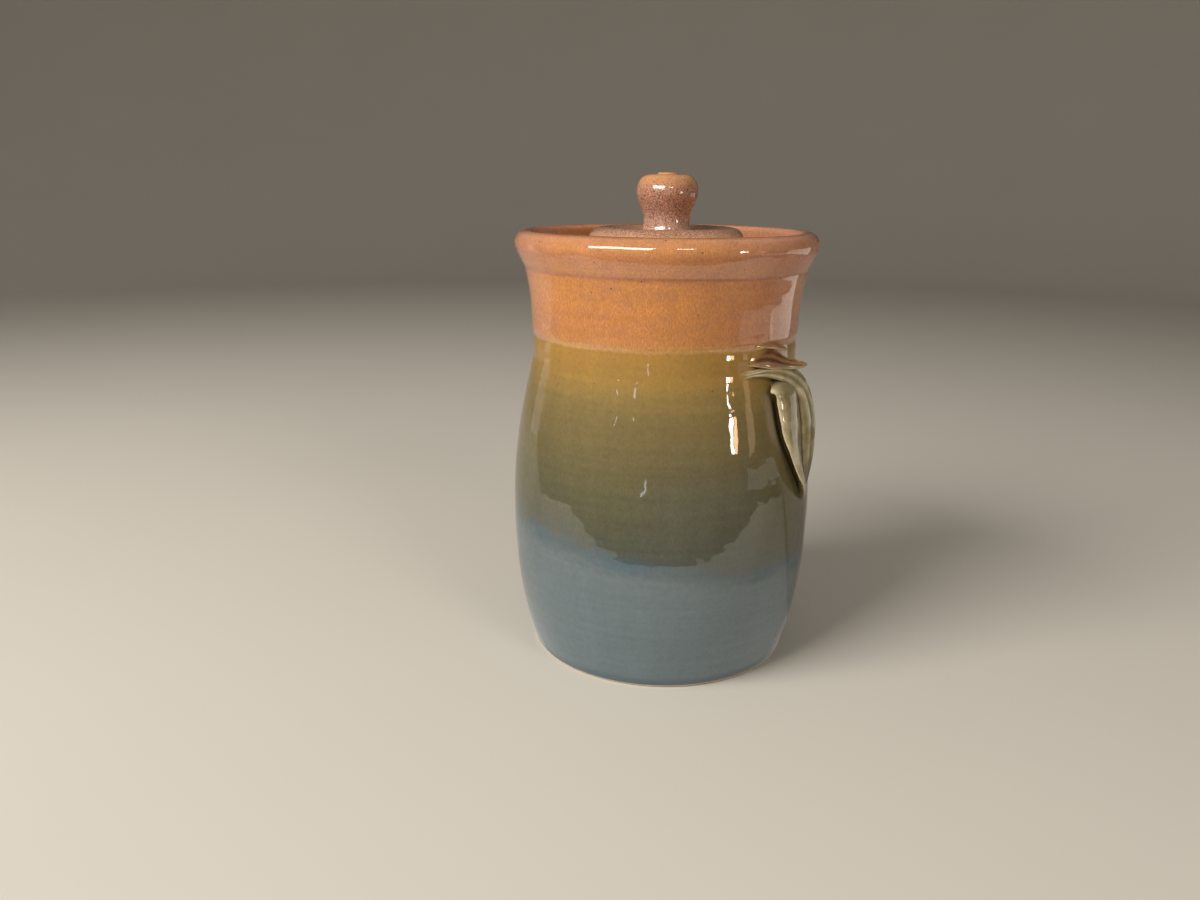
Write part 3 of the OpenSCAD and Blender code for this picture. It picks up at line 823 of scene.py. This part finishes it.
# For each strand: its size, how far its flat looks up and turns to one side (degrees), the depths of its
# crease and ribs as shares of the half thickness, the number of ribs, the tones of its flat and its edges
# (the tones set lighter on the upper parts partly as painted light from above), how far one edge is drawn
# out and down towards the wall, and the share of its length from which its tail sinks in
STRANDS = [
    dict(name="leaf_strap", rows=LEAF_ROUTE, reach=5.1*MM, width=15.4*MM, thick=4.2*MM, up=0.7, turn=-14,
         crease=0.05, rib_depth=0.02, ribs=1.5, root_tone=0.62, tip_tone=1.0, edge_tone=1.0,
         drawn=1.0*MM, sinks=1),
    dict(name="outer_strand", rows=STRAND_ROUTE, reach=6.5*MM, width=9.8*MM, thick=4.8*MM, up=0.2, turn=-15,
         crease=0.2, rib_depth=0.09, ribs=2.3, root_tone=0.94, tip_tone=0.76, edge_tone=0.92,
         drawn=0, sinks=0.85),
    dict(name="thumb_tab", rows=TAB_ROUTE, reach=11*MM, width=9.5*MM, thick=3.6*MM, up=0.4, turn=-35,
         crease=0.6, rib_depth=0.10, ribs=2.5, root_tone=0.30, tip_tone=0.74, edge_tone=1.0,
         drawn=0, sinks=1),
    dict(name="curl", rows=CURL_ROUTE, reach=3.2*MM, width=3.4*MM, thick=2.4*MM, up=0.55, turn=-35,
         crease=0.5, rib_depth=0.0, ribs=1, root_tone=0.30, tip_tone=0.60, edge_tone=1.0,
         drawn=0, sinks=1)]
# Fineness of a strand: stations between two of its route, and sides round it
STRAND_STEPS = 14
STRAND_SIDES = 64
# How far under the wall's skin a strand may go, and the fillet of slip where it meets the wall
SINK = 1.2*MM
FILLET = 1.3*MM
# Rounding of a strand's ends: over how many stations, and down to which share of its width
TIP_STATIONS, TIP_SHARE = 6, 0.04
# How the ribs wander along a strand: how far they sway, and stations to a radian of the sway and the drift
RIB_SWAY, SWAY_STATIONS, DRIFT_STATIONS = 0.9, 13, 35
# How steeply the crease and the paler edges set in across a strand
CREASE_POWER, EDGE_POWER = 6, 5
# How far the drawn edge goes down for each length that it goes out
DRAWN_DROP = 1.4
# How much darker the glaze is in the ribs, how much painted shade darkens the underside, and where the
# underside starts
RIB_DARK, UNDER_PAINTED_SHADE, UNDER_START = 2.2, 0.45, 0.2
# Tail that sinks in: share of the length over which it does, how much darker it is, and how much of the
# wall's glaze it takes
TAIL_SPAN, TAIL_DARK, TAIL_SEAT = 0.07, 0.35, 0.7
# Where a strand is seated: half thicknesses off the wall, and reach and power of the wall's glaze on it
SEAT_LIMIT, SEAT_REACH, SEAT_POWER = 1.2, 1.1*MM, 1.5


def smooth_route(rows):
    """All stations of a route, those listed and those between, on a smooth curve."""
    last = len(rows) - 1
    route = []
    for i in range(last):
        p0, p1, p2, p3 = (rows[min(max(k, 0), last)] for k in (i - 1, i, i + 1, i + 2))
        for k in range(STRAND_STEPS):
            t = k/STRAND_STEPS
            route.append([0.5*(2*b + (c - a)*t + (2*a - 5*b + 4*c - d)*t**2 + (3*b - a - 3*c + d)*t**3)
                          for a, b, c, d in zip(p0, p1, p2, p3)])
    return [*route, list(rows[last])]


def off_wall(point):
    """How far a point stands off the jar's wall."""
    return math.hypot(point.x, point.y) - wall_radius(point.z)


def seated(point, middle, seat):
    """A point of a strand's skin, kept just under the wall and flared where slip joins it to the wall."""
    stand = off_wall(point)
    r = math.hypot(point.x, point.y)
    radial = Vector((point.x/r, point.y/r, 0))
    if stand < FILLET and seat > 0:
        away = point - middle
        away -= radial*away.dot(radial)
        depth = 1 - clamped(stand/FILLET)
        flare = FILLET*seat*(1 - math.sqrt(1 - depth*depth))
        if away.length > TINY:
            point = point + away.normalized()*flare
    if stand < -SINK:
        point = point + radial*(-SINK - stand)
    return point


def strand_middles(route, reach):
    """Middle of a strand at each of its stations."""
    middles = []
    for angle, drop, out, _, _ in route:
        z = COLLAR_Z - drop*HANDLE_H
        r = wall_radius(z) + out*reach
        a = math.radians(angle)
        middles.append(Vector((r*math.cos(a), r*math.sin(a), z)))
    return middles


def strand(side, name, rows, reach, width, thick, up, turn, crease, rib_depth, ribs,
           root_tone, tip_tone, edge_tone, drawn, sinks):
    """One strand of pulled clay, with a crease, ribs from the fingers and rounded tips."""
    route = smooth_route(rows)
    middles = strand_middles(route, reach)
    last = len(route) - 1
    verts, ridge_and_shade_values, seats = [], [], []
    for i, (angle, _, _, w, t) in enumerate(route):
        middle = middles[i]
        along = (middles[min(i + 1, last)] - middles[max(i - 1, 0)]).normalized()
        a = math.radians(angle + turn)
        facing = Vector(((1 - up)*math.cos(a), (1 - up)*math.sin(a), up))
        across = along.cross(facing).normalized()
        out = across.cross(along)
        end = min(min(i, last - i)/TIP_STATIONS, 1)
        tip = max(math.sqrt(1 - (1 - end)**2), TIP_SHARE)
        half_w, half_t = w*width/2*tip, t*thick/2*tip
        tail = clamped((i/last - sinks)/TAIL_SPAN)
        # Tone of the flat from root to tip, lighter on the upper parts partly as painted light from above
        flat_tone = root_tone + (tip_tone - root_tone)*(i/last)**2 - TAIL_DARK*tail
        seat = clamped(SEAT_LIMIT - off_wall(middle)/max(half_t, TINY))
        for k in range(STRAND_SIDES):
            b = TURN*k/STRAND_SIDES
            face = max(math.sin(b), 0)
            sway = RIB_SWAY*math.sin(i/SWAY_STATIONS)
            wave = math.cos(ribs*math.pi*math.cos(b) + sway + i/DRIFT_STATIONS)
            rib = rib_depth*face*(1 - wave)
            high = math.sin(b) - crease*face**CREASE_POWER - rib
            spread = drawn*math.sqrt(math.sin(math.pi*i/last))*max(math.cos(b), 0)**2
            point = middle + across*(half_w*math.cos(b) + spread) + out*(half_t*high - DRAWN_DROP*spread)
            point = seated(point, middle, seat)
            verts.append(point)
            edge = abs(math.cos(b))**EDGE_POWER
            under = max(-math.sin(b) - UNDER_START, 0)
            # Tone: paler edges, darker ribs, and painted shade on the underside
            tone = flat_tone + (edge_tone - flat_tone)*edge - RIB_DARK*rib - UNDER_PAINTED_SHADE*under
            ridge_and_shade_values.append(clamped(tone))
            near = clamped(1 - off_wall(point)/SEAT_REACH)
            seats.append(max(near**SEAT_POWER, TAIL_SEAT*tail))
    first_ring = range(STRAND_SIDES)
    last_ring = [last*STRAND_SIDES + k for k in first_ring]
    faces = ring_faces(last + 1, STRAND_SIDES)
    faces += [tuple(first_ring), tuple(reversed(last_ring))]
    half_turn = Matrix.Rotation(math.pi if side == "left" else 0, 3, "Z")
    piece = new_piece(f"{side}_{name}_clay", [half_turn @ v for v in verts], faces, [HANDLE_GLAZE_AND_PAINTED_LIGHT])
    for label, values in (("ridge_and_shade", ridge_and_shade_values), ("seat", seats)):
        attribute = piece.data.attributes.new(label, "FLOAT", "POINT")
        attribute.data.foreach_set("value", values)
    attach(piece, "jar")
    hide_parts(f"{side}_{name}")


# Stage

# The camera looks from the angle VIEW round the jar; TOWARDS and RIGHT are its own directions on the floor
VIEW = math.radians(-55)
TOWARDS = Vector((math.cos(VIEW), math.sin(VIEW), 0))
RIGHT = Vector((-math.sin(VIEW), math.cos(VIEW), 0))
UP = Vector((0, 0, 1))
# Camera: width of its sensor and focal length in mm, place, and turns in degrees
SENSOR_W, LENS = 36, 29.13
CAMERA_OUT, CAMERA_UP = 0.4576, 0.2220
PITCH, YAW, ROLL = 15.574, 3.721, 0.439
# Floor: radius of its flat, radius of its sweep and height of its wall in metres, and fineness
FLAT_R, BEND_R, BACKDROP_H = 1.8, 1.2, 3.0
FLOOR_SIDES, BEND_STEPS = 96, 48
# Where the floor starts to darken outwards, and by how much it does
SHADE_START, SHADE = 0.4, -0.30
# Edge of the pale paper that the glaze reflects: metres to the right and towards the camera
PAPER_EDGE = [
    (-1.37, -0.61), (-0.405, -0.03), (-0.36, 0.16), (-0.11, 0.20), (0.03, 0.197), (0.20, 0.17),
    (0.42, 0.143), (0.416, -0.07), (1.49, -0.13)]
EDGE_STEPS = 4
# Sides between which the room beyond the paper is dark, in front and behind: degrees to the right of the
# camera
ROOM_SIDES = (-108, 95)
BACK_SIDES = (150, 210)
ROOM_R, ROOM_H = 1.5, 2.2
BACK_Z = 0.215
# The paper's height over the floor, its glow, and where that sets in towards the camera
PAPER_Z = 1*MM
PAPER_GLOW = 0.55
GLOW_START, GLOW_FULL = -0.06, 0.14
# Roughness of the paper and the room
MATT = 0.9
# Points on the jar's axis that the lamps face, and the things that are only mirrored
AIM, MIRROR_AIM = (0, 0, 0.12), (0, 0, 0.14)
# Lamps that light the jar: name, place to the right, towards the camera and up, width and height, and power
LAMPS = [
    ("key", -0.95, 0.80, 0.98, 0.9, 0.7, 24),
    ("fill", 0.75, 1.05, 0.75, 0.4, 0.4, 3.6)]
# Things in the room that the glaze mirrors: the same, and colour
MIRRORED = [
    ("window", 0.641, 0.472, 0.183, 0.045, 0.117, 0.64, (1, 0.97, 0.92)),
    ("window edge", 0.668, 0.434, 0.183, 0.035, 0.117, 0.30, (1, 0.55, 0.28)),
    ("window top", 0.636, 0.479, 0.267, 0.026, 0.022, 0.070, (1, 0.90, 0.80)),
    ("curtain", 0.706, 0.251, 0.166, 0.075, 0.155, 0.080, (1, 0.62, 0.38)),
    ("card", 0.620, 0.100, 0.030, 0.400, 0.070, 0.055, (1, 0.97, 0.95)),
    ("right paper", 0.640, -0.250, 0.090, 0.400, 0.180, 0.25, (1, 0.97, 0.90)),
    ("left card", -0.842, -0.403, 0.100, 0.205, 0.200, 0.057, (1, 0.98, 0.95)),
    ("strip", -0.70, 1.034, 0.76, 1.14, 0.36, 26, (1, 1, 1)),
    ("lamp", 0.235, 0.870, 0.590, 0.220, 0.070, 1.05, (1, 1, 1)),
    ("bulb", -0.443, 0.607, 0.244, 0.010, 0.020, 0.006, (1, 1, 1)),
    ("second bulb", -0.264, 0.702, 0.263, 0.014, 0.030, 0.010, (1, 1, 1)),
    ("low bulb", -0.157, 0.751, 0.044, 0.012, 0.060, 0.016, (1, 1, 1))]
# Light from all round: colour and strength
SKY, SKY_STRENGTH = (0.95, 0.97, 1, 1), 0.30


def make_camera():
    data = bpy.data.cameras.new("camera")
    data.sensor_width = SENSOR_W
    data.lens = LENS
    camera = bpy.data.objects.new("camera", data)
    pitch, yaw, roll = (math.radians(degrees) for degrees in (PITCH, YAW, ROLL))
    turn = (Matrix.Rotation(VIEW + math.pi/2 + yaw, 4, "Z") @ Matrix.Rotation(math.pi/2 - pitch, 4, "X")
            @ Matrix.Rotation(roll, 4, "Z"))
    camera.matrix_world = Matrix.Translation(CAMERA_OUT*TOWARDS + CAMERA_UP*UP) @ turn
    bpy.context.scene.collection.objects.link(camera)
    bpy.context.scene.camera = camera


def make_floor():
    """Pale floor that sweeps up into a round backdrop."""
    bend = arc((FLAT_R, BEND_R), (BEND_R, BEND_R), -90, 0, BEND_STEPS)
    profile = [(FLAT_R, 0), *bend[1:], (FLAT_R + BEND_R, BACKDROP_H)]
    turns = [TURN*k/FLOOR_SIDES for k in range(FLOOR_SIDES)]
    verts = [(r*math.cos(a), r*math.sin(a), z) for r, z in profile for a in turns]
    faces = [tuple(range(FLOOR_SIDES)), *ring_faces(len(profile), FLOOR_SIDES)]
    g = Glaze("floor")
    shade = g.step(g.radius(), SHADE_START, FLAT_R, 0, SHADE)
    colour = g.tone(PAPER, g.swing(g.noise(0.25), 0.02), shade)
    g.shader.inputs["Specular IOR Level"].default_value = 0
    floor = new_piece("floor", verts, faces, [g.finish(colour, 1)])


def room_wall(sides, count):
    """Points of the room's round wall between two sides."""
    turns = [math.radians(sides[0] + (sides[1] - sides[0])*i/(count - 1)) for i in range(count)]
    return [(ROOM_R*math.sin(a), ROOM_R*math.cos(a)) for a in turns]


def make_room():
    """Lit paper and the dark room round it, seen in reflections alone: floor, walls and ceiling."""
    near = []
    for (r0, t0), (r1, t1) in zip(PAPER_EDGE, PAPER_EDGE[1:]):
        near += [(r0 + (r1 - r0)*i/EDGE_STEPS, t0 + (t1 - t0)*i/EDGE_STEPS) for i in range(EDGE_STEPS)]
    near.append(PAPER_EDGE[-1])
    n = len(near)
    front, back, middle = room_wall(ROOM_SIDES, n), room_wall(BACK_SIDES, n), [(0, 0)]*n
    rows = [
        (middle, PAPER_Z), (near, PAPER_Z), (front, PAPER_Z), (front, ROOM_H), (middle, ROOM_H),
        (back, ROOM_H), (back, BACK_Z)]
    verts = [r*RIGHT + t*TOWARDS + z*UP for points, z in rows for r, t in points]
    faces, zones = [], []
    for i in range(len(rows) - 1):
        here, ahead = i*n, (i + 1)*n
        faces += [(here + k, here + k + 1, ahead + k + 1, ahead + k) for k in range(n - 1)]
        zones += [min(i, 1)]*(n - 1)
    paper, dark = Glaze("lit_paper"), Glaze("dark_room")
    glow = paper.step(paper.towards(TOWARDS), GLOW_START, GLOW_FULL, 0, PAPER_GLOW)
    paper.put(paper.shader.inputs["Emission Strength"], glow)
    paper.shader.inputs["Emission Color"].default_value = (*PAPER_LIGHT, 1)
    materials = [paper.finish((*PAPER, 1), MATT), dark.finish((*DARK_WALL, 1), MATT)]
    room = new_piece("dark_room", verts, faces, materials, zones)
    room.visible_camera = room.visible_diffuse = room.visible_transmission = room.visible_shadow = False


def area_light(name, right, towards, up, width, height, power, colour, aim):
    """Lamp at a place given in the camera's directions, turned to a point."""
    light = bpy.data.lights.new(name, "AREA")
    light.shape = "RECTANGLE"
    light.size, light.size_y = width, height
    light.energy = power
    light.color = colour
    lamp = bpy.data.objects.new(name, light)
    lamp.location = right*RIGHT + towards*TOWARDS + up*UP
    lamp.rotation_euler = (Vector(aim) - lamp.location).to_track_quat("-Z", "Y").to_euler()
    bpy.context.scene.collection.objects.link(lamp)
    return lamp


def make_lights():
    for row in LAMPS:
        area_light(*row, (1, 1, 1), AIM).visible_glossy = False
    for row in MIRRORED:
        area_light(*row, MIRROR_AIM).visible_diffuse = False
    world = bpy.data.worlds.new("studio")
    world.use_nodes = True
    background = world.node_tree.nodes["Background"]
    background.inputs["Color"].default_value = SKY
    background.inputs["Strength"].default_value = SKY_STRENGTH
    bpy.context.scene.world = world


make_camera()
make_floor()
make_room()
make_lights()
BARE_CLAY = bare_clay()
make_jar()
make_lid()
make_knob()
HANDLE_GLAZE_AND_PAINTED_LIGHT = handle_glaze()
for hand in ("right", "left"):
    for sizes in STRANDS:
        strand(hand, **sizes)

bpy.context.scene.view_settings.view_transform = "Standard"
